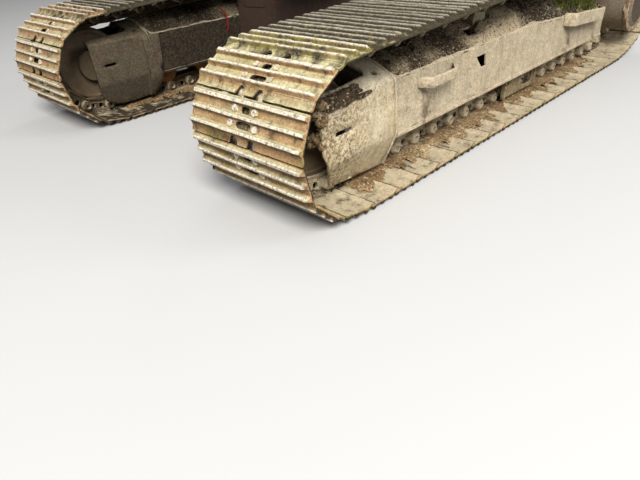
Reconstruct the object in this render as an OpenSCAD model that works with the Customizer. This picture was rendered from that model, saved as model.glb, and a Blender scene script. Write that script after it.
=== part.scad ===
// Undercarriage of a crawler excavator, in millimetres.
// The origin is on the ground under the slewing axis, +X is forward to the idlers, +Y is left and +Z is up.
// Each side is drawn with its track centre line at y = 0 and its outer side at +y, then moved or mirrored.

/* [Track] */
// Distance between the pins of neighbouring links
pitch = 190; // [180:1:200]
// Shoes in each track loop
shoe_count = 49; // [47:1:51]
// Width of a shoe across the track
shoe_w = 800; // [600:10:840]
// Thickness of a shoe's plate
shoe_t = 11; // [8:1:16]
// Height of a grouser bar over the plate
bar_h = 26; // [12:1:34]
// Width of a bar at its foot
bar_foot_w = 30; // [20:1:38]
// Width of a bar at its crest
bar_crest_w = 11; // [6:1:16]
// Distance between the bars of one shoe
bar_gap = 70; // [60:1:74]
// Distance from the middle of a link to its leading bar
bar_lead = 56; // [50:1:62]
// Height of a link from its rail to the shoe
link_h = 105; // [95:1:115]
// Distance from a pin to the inner face of the shoe
pin_depth = 53; // [45:1:60]
// Width of one link rail
rail_w = 44; // [30:1:50]
// Distance from the track centre line to the middle of a rail
rail_y = 68; // [60:1:76]
// Distance between the centre lines of the two tracks
gauge = 2390; // [2300:10:2600]
// Angle of one pin above the idler's centre, which sets where the shoes stand
pin_angle = 40.4; // [0:0.2:70]

/* [Wheels] */
// Pins in one turn of the sprocket
sprocket_pins = 10.5; // [9.5:1:11.5]
// Height of the sprocket axis over the ground
sprocket_z = 450; // [445:1:470]
// Thickness of the sprocket's toothed rim
sprocket_t = 50; // [40:1:60]
// Radius of the bushings that the teeth gear with
bushing_r = 31; // [26:1:34]
// Radius of the link pins around the idler
idler_pin_r = 314; // [300:1:320]
// Half width of the idler's rim
idler_half_w = 92; // [86:1:100]
// Half width of the idler's middle flange
idler_flange_half_w = 40; // [30:1:44]
// Height of the idler's middle flange over its treads
idler_flange_h = 20; // [12:1:26]
// Track rollers on each side
roller_count = 8; // [6:1:9]
// Radius of a track roller's tread
roller_r = 77.7; // [70:0.1:80]
// Height of a track roller's flange over its tread
roller_flange_h = 17; // [10:1:18]
// Radius of a carrier roller
carrier_r = 60; // [50:1:68]
// Height of the rails that the carrier rollers hold up
carrier_rail_z = 714; // [708:1:725]
// Distance from the slewing axis to the front carrier roller
carrier_front_x = 334; // [250:1:420]
// Distance from the slewing axis back to the rear carrier roller
carrier_rear_x = 800; // [700:1:900]
// Radius of a carrier roller's shaft
carrier_shaft_r = 22; // [16:1:28]

/* [Track frame] */
// Half width of the box frame
frame_half_w = 255; // [245:1:265]
// Height of the frame's lower lip over the ground
lip_z = 245; // [235:1:255]
// How far the lip stands out from the side
lip_out = 8; // [4:1:12]
// Height of the lip band
lip_h = 15; // [10:1:24]
// Height of the eaves where the side meets the roof
eave_z = 552; // [530:1:570]
// Height of the flat ridge
ridge_z = 655; // [630:1:664]
// Half width of the flat ridge
ridge_half_w = 31; // [20:1:44]
// Thickness of the frame's plates
frame_t = 12; // [8:1:16]
// Height of the floor plate's underside, on which the rollers are bolted
floor_z = 325; // [320:1:335]
// Distance from the idler back to the front cross plate
front_plate_back = 428; // [412:1:445]
// Distance from the sprocket forward to the frame's rear end
rear_end_ahead = 398; // [385:1:425]
// Where the roof begins to fall towards the sprocket
fall_x = -100; // [-240:10:0]
// How far the roof has fallen at the frame's rear end
rear_fall = 100; // [60:5:125]
// Thickness of the front cross plate
front_plate_t = 20; // [14:1:28]
// Radius of the hole for the recoil rod
rod_hole_r = 62; // [50:1:70]
// Thickness of the idler guard's plates
guard_t = 16; // [10:1:20]

/* [Drive] */
// Radius of the final drive's drum
drum_r = 225; // [200:1:232]
// Distance from the track centre line to the drum's outer rim
drum_out = 384; // [340:1:392]
// Radius of the hub inside the sprocket
hub_r = 196; // [180:1:206]
// Radius of the travel motor
motor_r = 132; // [100:1:150]

/* [Car body] */
// Half length of the centre box
box_half_x = 430; // [400:1:460]
// Half width of the centre box
box_half_y = 520; // [480:1:560]
// Height of the centre box's underside
belly_z = 470; // [440:1:500]
// Height of the top plate's upper face
deck_z = 920; // [890:1:940]
// Thickness of the centre box's plates
body_t = 20; // [12:1:25]
// How far the round top plate stands out from under the slewing ring
deck_margin = 10; // [4:1:25]
// Distance from the slewing axis to a leg's outer web, at the track frame
leg_reach_x = 495; // [480:1:560]
// Distance from the slewing axis to a leg's inner web, at the track frame
leg_inner_x = 150; // [120:1:200]
// Height of a leg's top where it meets the track frame
leg_top_z = 700; // [600:5:740]
// Height of a leg's underside where it meets the track frame
leg_low_z = 345; // [330:1:380]
// Thickness of a leg's plates
leg_t = 16; // [10:1:20]

/* [Slewing ring] */
// Height of the ring's outer race
ring_h = 115; // [95:1:130]
// Outer radius of the ring
ring_out_r = 665; // [655:1:667]
// Radius where the two races meet
race_r = 560; // [552:1:570]
// Running gap between the races
race_gap = 0.3; // [0.3:0.1:1]
// Radius to the tips of the inner gear's teeth
gear_tip_r = 478; // [470:1:484]
// Depth of the inner gear's teeth
gear_depth = 22; // [16:1:26]
// Teeth of the inner gear
gear_teeth = 84; // [72:1:96]
// Diameter of the circle of bolt holes for the upper structure
bolt_circle_d = 1240; // [1220:2:1260]
// Number of bolt holes for the upper structure
bolt_count = 36; // [24:1:40]
// Radius of a bolt hole
bolt_hole_r = 11; // [8:0.5:13]

/* [Hidden] */
$fn = 96;
// Two pieces that touch along a curve stay this far apart
seat_gap = 0.3;
// Room between the rails and the rollers, so that a straight link clears them where the chain bends
chain_room = 2;
full_turn = 360;
big = 5000;

// Heights of the tread, the pins and the shoe on a straight run
pin_z = bar_h + shoe_t + pin_depth;
rail_drop = link_h - pin_depth;
rail_z = pin_z + rail_drop;
shoe_face_h = pin_depth + shoe_t;
roller_z = rail_z + roller_r + chain_room;
idler_z = pin_z + idler_pin_r;
sprocket_pin_r = pitch / 2 / sin(180 / sprocket_pins);
carrier_z = carrier_rail_z - carrier_r - chain_room;
carrier_belt_r = carrier_rail_z - carrier_z + rail_drop;

// The pin path is a belt round circles of [x, z, radius], listed in the direction of travel
last_roller_ahead = 378;
// Behind the last roller the chain bends up gently towards the sprocket
rise_behind = 130;
rise_r = 800;
function belt(span) = [
    [span / 2, idler_z, idler_pin_r],
    [last_roller_ahead - rise_behind - span / 2, pin_z + rise_r, rise_r],
    [-span / 2, sprocket_z, sprocket_pin_r],
    [-carrier_rear_x, carrier_z, carrier_belt_r],
    [carrier_front_x, carrier_z, carrier_belt_r]];
function gap_xz(a, b) = [b.x - a.x, b.y - a.y];
// Outward angle of the straight run from circle a to circle b
function run_angle(a, b) =
    let (g = gap_xz(a, b)) atan2(g.y, g.x) + acos((a[2] - b[2]) / norm(g));
function run_length(a, b) = let (g = gap_xz(a, b)) sqrt(g * g - pow(a[2] - b[2], 2));
function run_angles(c) = [for (i = [0 : len(c) - 1]) run_angle(c[i], c[(i + 1) % len(c)])];
// Turn from one angle to a lower one; a slight rise where the chain sags counts as a small negative turn
largest_rise = 10;
function turn(from, to) =
    let (t = (from - to + 2 * full_turn) % full_turn) t > full_turn - largest_rise ? t - full_turn : t;
// Angle that one link takes on a circle
function link_angle(r) = 2 * asin(pitch / 2 / r);
// Stretches of the belt as [links, circle, whether it is an arc]
function stretches(c) = let (a = run_angles(c), n = len(c))
    [for (i = [0 : n - 1], arc = [true, false])
        arc ? [turn(a[(i + n - 1) % n], a[i]) / link_angle(c[i][2]), i, true]
            : [run_length(c[i], c[(i + 1) % n]) / pitch, i, false]];
function total(list, i = 0) = i == len(list) ? 0 : list[i][0] + total(list, i + 1);
// The adjuster sets the span so that the loop holds a whole number of links
function fit_span(span, tries) = tries == 0 ? span :
    fit_span(span + (shoe_count - total(stretches(belt(span)))) * pitch / 2, tries - 1);
span = fit_span(shoe_count * pitch * 0.4, 6);
circles = belt(span);
angles = run_angles(circles);
path = stretches(circles);
idler_x = span / 2;
sprocket_x = -span / 2;

function on_circle(c, r, angle) = [c.x + r * cos(angle), c.y + r * sin(angle)];
// Point of the pin path that lies a number of links past the start of stretch i
function path_point(links, i = 0) =
    let (s = path[i], c = circles[s[1]], n = len(circles))
    links > s[0] && i < len(path) - 1 ? path_point(links - s[0], i + 1)
    : s[2] ? on_circle(c, c[2], angles[(s[1] + n - 1) % n] - links * link_angle(c[2]))
    : on_circle(c, c[2], angles[s[1]]) + links * pitch * [sin(angles[s[1]]), -cos(angles[s[1]])];
loop_links = total(path);
start = (angles[len(circles) - 1] - pin_angle + full_turn) % full_turn / link_angle(idler_pin_r);
pins = [for (k = [0 : shoe_count - 1]) path_point((k + start) % loop_links)];

function pin(k) = pins[(k + shoe_count) % shoe_count];
function unit(v) = v / norm(v);
function along(k) = unit(pin(k + 1) - pin(k));
function outward(k) = [-along(k).y, along(k).x];
function link_point(k, u, h) = (pin(k) + pin(k + 1)) / 2 + u * along(k) + h * outward(k);
// Corner between two neighbouring links at a height over the pins
function corner(k, h) =
    let (n = unit(outward(k - 1) + outward(k))) pin(k) + n * h / (n * outward(k));
function bends(k) = abs(outward(k - 1) * along(k)) > 0.0005;
function band(h) = [for (k = [0 : shoe_count - 1]) if (bends(k)) corner(k, h)];
bars = [for (i = [0 : 2]) i * bar_gap - bar_lead];
shoe_outline = [for (k = [0 : shoe_count - 1], u = bars,
    // Columns: half width of the bar and height over the plate
    p = [[-bar_foot_w, 0], [-bar_crest_w, bar_h], [bar_crest_w, bar_h], [bar_foot_w, 0]])
    link_point(k, u + p[0] / 2, shoe_face_h + p[1])];

// Angle of the first pin that lies on the sprocket, which a gap between its teeth meets
links_to_sprocket = path[0][0] + path[1][0] + path[2][0] + path[3][0];
sprocket_turn = angles[1]
    - (ceil(links_to_sprocket - start) + start - links_to_sprocket) * link_angle(sprocket_pin_r);

frame_front_x = idler_x - front_plate_back;
frame_rear_x = sprocket_x + rear_end_ahead;
first_roller_back = 608;
roller_step = (span - first_roller_back - last_roller_ahead) / (roller_count - 1);
idler_r = idler_pin_r * cos(link_angle(idler_pin_r) / 2) - rail_drop - seat_gap;
frame_inner_y = gauge / 2 - frame_half_w;
race_lift = 10;
ring_top_z = deck_z + race_lift + ring_h;
deck_r = ring_out_r + deck_margin;

module side(s) {
    if (s > 0) translate([0, gauge / 2, 0]) children();
    else mirror([0, 1, 0]) translate([0, gauge / 2, 0]) children();
}
// Flat shape in x and z, thickened across the machine from y0 to y1
module across(y0, y1) {
    translate([0, y1, 0]) rotate([90, 0, 0]) linear_extrude(y1 - y0) children();
}
// Flat shape in y and z, drawn out along the machine from x0 to x1
module lengthwise(x0, x1) {
    translate([x0, 0, 0]) rotate([90, 0, 90]) linear_extrude(x1 - x0) children();
}
// Turned piece about a cross axis, from points of [radius, y]
module turned(x, z, profile) {
    translate([x, 0, z]) rotate([-90, 0, 0]) rotate_extrude() polygon(profile);
}
// Points of a profile of [radius, y] and of its mirror image in the middle plane
function both_halves(p) = concat(p, [for (i = [len(p) - 1 : -1 : 0]) [p[i][0], -p[i][1]]]);
function mirrored(p) = concat(p, [for (i = [len(p) - 1 : -1 : 0]) [-p[i][0], p[i][1]]]);
// Closed outline of a bent plate of thickness t on the right of a line of points
function bent_plate(line, t) =
    let (n = len(line),
        dir = [for (i = [0 : n - 2]) unit(line[i + 1] - line[i])],
        side_of = [for (d = dir) [d.y, -d.x]],
        mitre = [for (i = [0 : n - 1])
            let (a = side_of[max(i - 1, 0)], b = side_of[min(i, n - 2)], m = unit(a + b)) m / (m * a)])
    concat(line, [for (i = [n - 1 : -1 : 0]) line[i] + t * mitre[i]]);

// One loop of shoes, each with three grouser bars, on two link rails
module track() {
    color("darkkhaki") {
        across(-shoe_w / 2, shoe_w / 2) difference() {
            polygon(shoe_outline);
            polygon(band(pin_depth));
        }
        for (s = [-1, 1]) across(s * rail_y - rail_w / 2, s * rail_y + rail_w / 2) difference() {
            polygon(band(pin_depth + shoe_t / 2));
            polygon(band(-rail_drop));
        }
    }
}

// Gabled outline of the box frame: half width, lower edge, eaves, ridge and half width of the ridge
function gable(half, low, eave, ridge, flat) =
    [[half, low], [half, eave], [flat, ridge], [-flat, ridge], [-half, eave], [-half, low]];
roof_rise = (ridge_z - eave_z) / (frame_half_w - ridge_half_w);
roof_t = frame_t * sqrt(1 + roof_rise * roof_rise);
access_hole = [[103, 82], [-3, 84], [-18, 6], [34, 4]];
access_hole_x = 495;
access_hole_z = 412;
// Pocket round a carrier roller
pocket_half_x = 84;
pocket_half_y = 116;
// Plan of the hole in the roof ahead of a carrier roller, as distances ahead of it and from the centre line
roof_hole = [[89, 96], [236, 90], [253, 138], [226, 170], [110, 158]];
rod_z = idler_z;
// Height of the level roof's upper face at a distance from the track centre line
function roof_at(y) = ridge_z - (y - ridge_half_w) * roof_rise;
fall_angle = atan(rear_fall / (fall_x - frame_rear_x));
// Long gabled form, level in front and falling to the sprocket behind
fall_margin = 100;
fall_flat = ridge_half_w + 6;
module long_form(x0, x1, half, low, eave, ridge) {
    intersection() {
        lengthwise(x0, x1) polygon(gable(half, low, eave, ridge, ridge_half_w));
        translate([fall_x, 0, eave_z]) rotate([0, -fall_angle, 0]) translate([-fall_x, 0, -eave_z])
            lengthwise(-big, big) polygon(gable(half + fall_margin, -big, eave - fall_margin * roof_rise,
                ridge, fall_flat));
    }
}
// The front cross plate's right half, as [y, z]
cross_plate_edge = [[ridge_half_w, ridge_z + 2], [frame_half_w - 20, eave_z + 25],
    [frame_half_w + 1, eave_z + 6], [frame_half_w + 13, idler_z], [frame_half_w + 15, lip_z + 30],
    [frame_half_w - 9, lip_z - 23], [frame_half_w - 77, lip_z - 168], [frame_half_w - 90, lip_z - 168],
    [frame_half_w - 90, floor_z]];

module track_frame() {
    // The side plates run into the cross plate, and the hollow ends a little inside it
    plates_end_x = frame_front_x - front_plate_t / 2;
    hollow_end_x = frame_front_x - front_plate_t + 1;
    color("wheat") difference() {
        union() {
            long_form(frame_rear_x, plates_end_x, frame_half_w, lip_z, eave_z, ridge_z);
            for (s = [-1, 1]) lengthwise(frame_rear_x, plates_end_x)
                translate([s * frame_half_w - (s > 0 ? frame_t : lip_out), lip_z])
                    square([frame_t + lip_out, lip_h]);
            lengthwise(frame_front_x - front_plate_t, frame_front_x) polygon(mirrored(cross_plate_edge));
        }
        long_form(frame_rear_x + frame_t, hollow_end_x, frame_half_w - frame_t, floor_z + frame_t,
            eave_z - roof_t + frame_t * roof_rise, ridge_z - roof_t);
        lengthwise(frame_rear_x - frame_t, hollow_end_x)
            translate([frame_t - frame_half_w, 0]) square([2 * (frame_half_w - frame_t), floor_z]);
        translate([frame_front_x, 0, rod_z]) rotate([0, 90, 0])
            cylinder(r = rod_hole_r, h = 4 * front_plate_t, center = true);
        for (x = [carrier_front_x, -carrier_rear_x]) translate([x, 0, floor_z + 4 * frame_t]) {
            translate([-pocket_half_x, -pocket_half_y]) cube([2 * pocket_half_x, 2 * pocket_half_y, big]);
            linear_extrude(big) polygon(roof_hole);
        }
        translate([access_hole_x, 0, access_hole_z]) across(0, frame_half_w + frame_t) polygon(access_hole);
    }
}

// Side outline of the idler guard, as distances from the idler axis and heights
guard_ahead = 111;
guard_outline = [[-front_plate_back, ridge_z], [guard_ahead, ridge_z], [guard_ahead, lip_z + 85],
    [8, lip_z - 132], [-104, lip_z - 144], [-228, lip_z - 152], [14 - front_plate_back, lip_z - 164],
    [-front_plate_back, lip_z - 30]];
// The guard on the machine's inner side is shorter in front and laps over the frame's side behind
lap_back = 96;
lap_ahead = 60;
inner_guard_ahead = 55;
inner_guard_outline = [[-front_plate_back - lap_back, ridge_z], [inner_guard_ahead, ridge_z],
    [inner_guard_ahead, lip_z + 5], [38, lip_z - 46], [-1, lip_z - 111], [-124, lip_z - 161],
    [-275, lip_z - 162], [-378, lip_z - 156], [-438, lip_z - 106], [-476, lip_z - 34], [-503, idler_z + 23]];
guard_roof_y = 46;
// Sections of the bent side plate and of the lap outside it, as [y, z]
guard_line = [[guard_roof_y, roof_at(guard_roof_y) + 2], [frame_half_w - 20, eave_z + 22],
    [frame_half_w - 3, eave_z + 4], [frame_half_w + 7, idler_z], [frame_half_w + 11, lip_z + 30],
    [frame_half_w - 13, lip_z - 23], [frame_half_w - 78, lip_z - 165]];
lap_line = [[frame_half_w + 20, eave_z + 4], [frame_half_w + 29.6, idler_z], [frame_half_w + 33, lip_z + 8],
    [frame_half_w + 12, lip_z - 40], [frame_half_w - 54, lip_z - 172]];
// Plan of the opening over the idler, as distances ahead of the cross plate and from the centre line
guard_opening = [[big, 0], [122, 0], [130, 58], [112, 140], [140, frame_half_w - 85],
    [319, frame_half_w - 70], [big, frame_half_w - 66]];
guard_hole_r = 20;
guard_hole_ahead = 72;
guard_hole_y = 178;
// Ends of the slot in the outer and the inner guard, as distances ahead of the idler axis
outer_slot = [11, -79];
inner_slot = [-34, -110];
slot_half_h = 11;
slot_rise = 2;

module idler_guard(s) {
    slot = s > 0 ? outer_slot : inner_slot;
    color("tan") difference() {
        mirror([0, s > 0 ? 0 : 1, 0]) difference() {
            union() {
                lengthwise(frame_front_x, idler_x + big) polygon(bent_plate(guard_line, guard_t));
                if (s < 0) {
                    lengthwise(frame_front_x - lap_back, frame_front_x + lap_ahead)
                        polygon(bent_plate(lap_line, guard_t));
                    lengthwise(frame_front_x, frame_front_x + lap_ahead)
                        polygon(bent_plate(lap_line, 2 * guard_t));
                }
            }
            translate([frame_front_x, 0, eave_z]) linear_extrude(big) polygon(guard_opening);
            translate([frame_front_x + guard_hole_ahead, guard_hole_y, eave_z])
                cylinder(r = guard_hole_r, h = big);
        }
        translate([idler_x, 0, 0]) across(-big, big) difference() {
            square([3 * big, 3 * big], center = true);
            polygon(s > 0 ? guard_outline : inner_guard_outline);
        }
        translate([idler_x, 0, idler_z + slot_rise]) across(-big, big) {
            translate([slot[1], -slot_half_h]) square([slot[0] - slot[1], 2 * slot_half_h]);
            for (x = slot) translate([x, 0]) circle(slot_half_h);
        }
    }
}

module idler() {
    hub_half_w = idler_half_w + 6;
    hub_radius = 96;
    rim_t = 26;
    color("dimgray") difference() {
        turned(idler_x, idler_z, both_halves([[0, hub_half_w], [hub_radius, hub_half_w],
            [hub_radius + 8, idler_half_w - 10], [idler_r - rim_t, idler_half_w - 4],
            [idler_r - rim_t + 6, idler_half_w], [idler_r - 6, idler_half_w], [idler_r, idler_half_w - 6],
            [idler_r, idler_flange_half_w + 4], [idler_r + idler_flange_h, idler_flange_half_w]]));
        translate([idler_x, 0, idler_z]) rotate([90, 0, 0])
            cylinder(r = yoke_shaft_r + seat_gap, h = big, center = true);
    }
}

yoke_shaft_r = 36;
yoke_arm_y = 104;
yoke_arm_t = 36;
yoke_arm_h = 92;
yoke_end_r = 110;
yoke_block_back = 360;
yoke_block_l = 60;
recoil_rod_r = 46;
recoil_rod_l = 330;

module idler_yoke() {
    color("gray") {
        for (y = [-yoke_arm_y - yoke_arm_t, yoke_arm_y]) across(y, y + yoke_arm_t)
            translate([idler_x, idler_z]) {
                circle(yoke_end_r);
                translate([-yoke_block_back, -yoke_arm_h / 2]) square([yoke_block_back, yoke_arm_h]);
            }
        across(-yoke_arm_y - yoke_arm_t, yoke_arm_y + yoke_arm_t)
            translate([idler_x - yoke_block_back, idler_z - yoke_arm_h / 2])
                square([yoke_block_l, yoke_arm_h]);
        translate([idler_x, 0, idler_z]) rotate([90, 0, 0])
            cylinder(r = yoke_shaft_r, h = 2 * (yoke_arm_y + yoke_arm_t), center = true);
        translate([idler_x - yoke_block_back, 0, rod_z]) rotate([0, -90, 0])
            cylinder(r = recoil_rod_r, h = recoil_rod_l);
    }
}

roller_tread_y = 96;
roller_end_y = 124;
collar_t = 26;
collar_half_x = 44;

module track_rollers() {
    flange_r = roller_r + roller_flange_h;
    color("saddlebrown")
    for (i = [0 : roller_count - 1]) {
        x = idler_x - first_roller_back - i * roller_step;
        turned(x, roller_z, both_halves([[0, roller_end_y], [roller_r - 26, roller_end_y],
            [roller_r - 8, roller_tread_y + 16], [flange_r, roller_tread_y + 14],
            [flange_r, roller_tread_y + 4], [roller_r, roller_tread_y], [roller_r, rail_y - rail_w / 2 - 6],
            [roller_r - 22, rail_y - rail_w / 2 - 14]]));
        for (y = [-roller_end_y - collar_t, roller_end_y]) across(y, y + collar_t)
            translate([x, roller_z]) {
                circle(collar_half_x);
                translate([-collar_half_x, 0]) square([2 * collar_half_x, floor_z - roller_z]);
            }
    }
}

carrier_in_y = 178;
carrier_foot_half_x = 60;
carrier_foot_half_y = 30;
carrier_foot_h = 40;

module carrier_rollers() {
    color("sienna")
    for (x = [carrier_front_x, -carrier_rear_x]) {
        turned(x, carrier_z, [[0, -104], [carrier_r - 12, -104], [carrier_r + 12, -102],
            [carrier_r + 12, -94], [carrier_r, -90], [carrier_r, -46], [carrier_r - 16, -38],
            [carrier_r - 16, 38], [carrier_r, 46], [carrier_r, 90], [carrier_r + 12, 94],
            [carrier_r + 12, 102], [carrier_r - 12, 110], [0, 116]]);
        translate([x, -100, carrier_z]) rotate([90, 0, 0])
            cylinder(r = carrier_shaft_r, h = carrier_in_y - 100);
        difference() {
            translate([x - carrier_foot_half_x, -carrier_in_y - carrier_foot_half_y, floor_z])
                cube([2 * carrier_foot_half_x, 2 * carrier_foot_half_y,
                    carrier_z + carrier_foot_h - floor_z]);
            long_form(frame_rear_x, frame_front_x, frame_half_w, 0, eave_z, ridge_z);
        }
    }
}

roller_guard_front_x = 65;
roller_guard_rear_x = -400;
roller_guard_y = 168;
roller_guard_low_z = 78;
roller_guard_flange = 18;
// Openings of a roller guard, as [x, z]
roller_guard_windows = [[[-180, 215], [-345, 215], [-372, 165], [-365, 108], [-215, 110], [-175, 150]],
    [[35, 215], [-20, 215], [-28, 160], [28, 145]]];

// Plates beside the middle rollers that keep the chain in line
module roller_guard() {
    color("peru") for (s = [-1, 1]) mirror([0, s > 0 ? 0 : 1, 0]) {
        across(roller_guard_y, roller_guard_y + guard_t) difference() {
            translate([roller_guard_rear_x, roller_guard_low_z])
                square([roller_guard_front_x - roller_guard_rear_x, floor_z - roller_guard_low_z]);
            for (w = roller_guard_windows) polygon(w);
        }
        for (x = [roller_guard_rear_x, roller_guard_front_x - guard_t])
            translate([x, roller_guard_y, roller_guard_low_z])
                cube([guard_t, guard_t + roller_guard_flange, floor_z - roller_guard_low_z]);
    }
}

sprocket_tip = 26;
module sprocket() {
    color("darkgray") difference() {
        translate([sprocket_x, 0, sprocket_z]) rotate([90, 0, 0])
            cylinder(r = sprocket_pin_r + sprocket_tip, h = sprocket_t, center = true);
        translate([sprocket_x, 0, sprocket_z]) rotate([90, 0, 0])
            cylinder(r = hub_r + seat_gap, h = 2 * sprocket_t, center = true);
        for (k = [0 : 2 * sprocket_pins - 1]) {
            c = on_circle([sprocket_x, sprocket_z], sprocket_pin_r, sprocket_turn - k * 180 / sprocket_pins);
            translate([c.x, 0, c.y]) rotate([90, 0, 0])
                cylinder(r = bushing_r, h = 2 * sprocket_t, center = true);
        }
    }
}

drive_face_y = -46;
bracket_t = 40;
drum_in_y = sprocket_t / 2 + 8;
module final_drive() {
    color("slategray") turned(sprocket_x, sprocket_z, [[0, drive_face_y], [hub_r + 24, drive_face_y],
        [hub_r + 24, -sprocket_t / 2 - seat_gap], [hub_r, -sprocket_t / 2 - seat_gap], [hub_r, drum_in_y],
        [drum_r, drum_in_y + 14], [drum_r, drum_out - 20], [drum_r + 9, drum_out - 20],
        [drum_r + 9, drum_out], [drum_r - 32, drum_out], [drum_r - 60, drum_out + 13], [0, drum_out + 13]]);
}

// Welded bracket that carries the drive, with the frame's rear bulkhead behind it
module drive_plate() {
    flange_r = hub_r + 36;
    across(drive_face_y - bracket_t, drive_face_y) difference() {
        union() {
            translate([sprocket_x, sprocket_z]) circle(flange_r);
            polygon([[sprocket_x, sprocket_z + flange_r], [sprocket_x, sprocket_z - flange_r],
                [frame_rear_x, floor_z], [frame_rear_x, ridge_z - rear_fall - 30]]);
        }
        translate([sprocket_x, sprocket_z]) circle(motor_r + seat_gap);
    }
}

guard_side_y = -frame_half_w;
motor_end_y = guard_side_y + guard_t + 5;
module travel_motor() {
    color("darkslategray") turned(sprocket_x, sprocket_z, [[0, drive_face_y], [motor_r, drive_face_y],
        [motor_r, motor_end_y + 60], [motor_r - 20, motor_end_y + 50], [motor_r - 34, motor_end_y],
        [0, motor_end_y]]);
}

guard_rear = 176;
guard_low = 170;
guard_high = 170;
module motor_guard() {
    color("tan") {
        drive_plate();
        across(guard_side_y, guard_side_y + guard_t)
            polygon([[sprocket_x - guard_rear, sprocket_z - guard_low],
                [frame_rear_x, sprocket_z - guard_low], [frame_rear_x, eave_z - rear_fall],
                [sprocket_x - guard_rear + 60, sprocket_z + guard_high],
                [sprocket_x - guard_rear, sprocket_z + guard_high - 60]]);
        translate([sprocket_x - guard_rear + 60, guard_side_y, sprocket_z + guard_high - guard_t])
            cube([guard_rear - 60, drive_face_y - bracket_t - guard_side_y + 1, guard_t]);
    }
}

step_out = 75;
step_t = 14;
// Columns: middle, plan of the plate as distances ahead of it and out from the frame, foot, height and tilt
footholds = [
    [1022, [[204, -50], [143, step_out], [-82, step_out], [-244, -50]], 462, 58, 0],
    [-930, [[330, -50], [268, step_out], [-290, step_out], [-430, -50]], 432, 90, fall_angle]];
module steps() {
    color("burlywood") for (f = footholds) translate([f[0], frame_half_w, f[2]]) rotate([0, -f[4], 0])
        linear_extrude(f[3]) intersection() {
            polygon(bent_plate(f[1], -step_t));
            translate([-big, 0]) square([2 * big, step_out]);
        }
}

deck_hole_r = 330;
belly_hole_r = 190;
pedestal_in_r = 500;
pedestal_h = 30;
module car_body() {
    color("rosybrown") {
        difference() {
            translate([-box_half_x, -box_half_y, belly_z])
                cube([2 * box_half_x, 2 * box_half_y, deck_z - belly_z - body_t]);
            translate([body_t - box_half_x, body_t - box_half_y, belly_z + body_t])
                cube([2 * (box_half_x - body_t), 2 * (box_half_y - body_t), big]);
            cylinder(r = belly_hole_r, h = big);
        }
        translate([0, 0, deck_z - body_t]) difference() {
            cylinder(r = deck_r, h = body_t);
            translate([0, 0, -body_t]) cylinder(r = deck_hole_r, h = big);
        }
        translate([0, 0, deck_z]) difference() {
            cylinder(r = race_r - 4, h = pedestal_h);
            translate([0, 0, -body_t]) cylinder(r = pedestal_in_r, h = big);
        }
    }
}

// Plan of a leg for the front left corner, drawn in by the thickness of its plates
leg_root_x = 20;
function leg_plan(t) = [[leg_root_x + t, box_half_y], [box_half_x - t, box_half_y],
    [leg_reach_x - t, frame_inner_y - t], [leg_inner_x + t, frame_inner_y - t]];
function leg_profile(t) = [[box_half_y, belly_z + t], [frame_inner_y - t, leg_low_z + t],
    [frame_inner_y - t, leg_top_z - t], [box_half_y, deck_z - body_t - t]];

// Hollow leg from the centre box to a track frame
module leg() {
    color("rosybrown") difference() {
        intersection() {
            linear_extrude(big) polygon(leg_plan(0));
            lengthwise(0, big) polygon(leg_profile(0));
        }
        intersection() {
            linear_extrude(big) polygon(leg_plan(leg_t));
            lengthwise(0, big) polygon(leg_profile(leg_t));
        }
    }
}

cover_r = 230;
cover_t = 10;
module belly_cover() {
    color("dimgray") translate([0, 0, belly_z - cover_t]) cylinder(r = cover_r, h = cover_t);
}

module slew_ring_inner() {
    root_r = gear_tip_r + gear_depth;
    tooth = full_turn / gear_teeth;
    // Columns: share of a tooth's turn and radius
    tooth_shape = [[0, root_r], [0.3, root_r], [0.42, gear_tip_r], [0.88, gear_tip_r]];
    low_z = deck_z + pedestal_h;
    color("silver") translate([0, 0, low_z]) linear_extrude(ring_top_z - race_lift - low_z) difference() {
        circle(race_r);
        polygon([for (k = [0 : gear_teeth - 1], p = tooth_shape)
            p[1] * [cos((k + p[0]) * tooth), sin((k + p[0]) * tooth)]]);
    }
}

module slew_ring_outer() {
    color("lightslategray") translate([0, 0, deck_z + race_lift]) difference() {
        cylinder(r = ring_out_r, h = ring_h);
        translate([0, 0, -ring_h]) cylinder(r = race_r + race_gap, h = 3 * ring_h);
        for (k = [0 : bolt_count - 1]) rotate([0, 0, k * full_turn / bolt_count])
            translate([bolt_circle_d / 2, 0, -ring_h]) cylinder(r = bolt_hole_r, h = 3 * ring_h);
    }
}

swivel_r = 104;
swivel_top_z = 905;
swivel_stem_r = 42;
swivel_fit = 0.05;
swivel_bore_depth = 160;
swivel_stem_l = 150;
module swivel_base() {
    color("darkgray") difference() {
        union() {
            translate([0, 0, belly_z]) cylinder(r = swivel_r, h = swivel_top_z - belly_z);
            translate([0, 0, belly_z]) cylinder(r = belly_hole_r - seat_gap, h = body_t);
        }
        translate([0, 0, swivel_top_z - swivel_bore_depth])
            cylinder(r = swivel_stem_r + swivel_fit, h = big);
    }
}
module swivel_rotor() {
    color("gainsboro") {
        translate([0, 0, swivel_top_z - swivel_stem_l]) cylinder(r = swivel_stem_r, h = swivel_bore_depth);
        translate([0, 0, swivel_top_z + seat_gap]) cylinder(r = swivel_r - 6, h = 84);
    }
}

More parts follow.
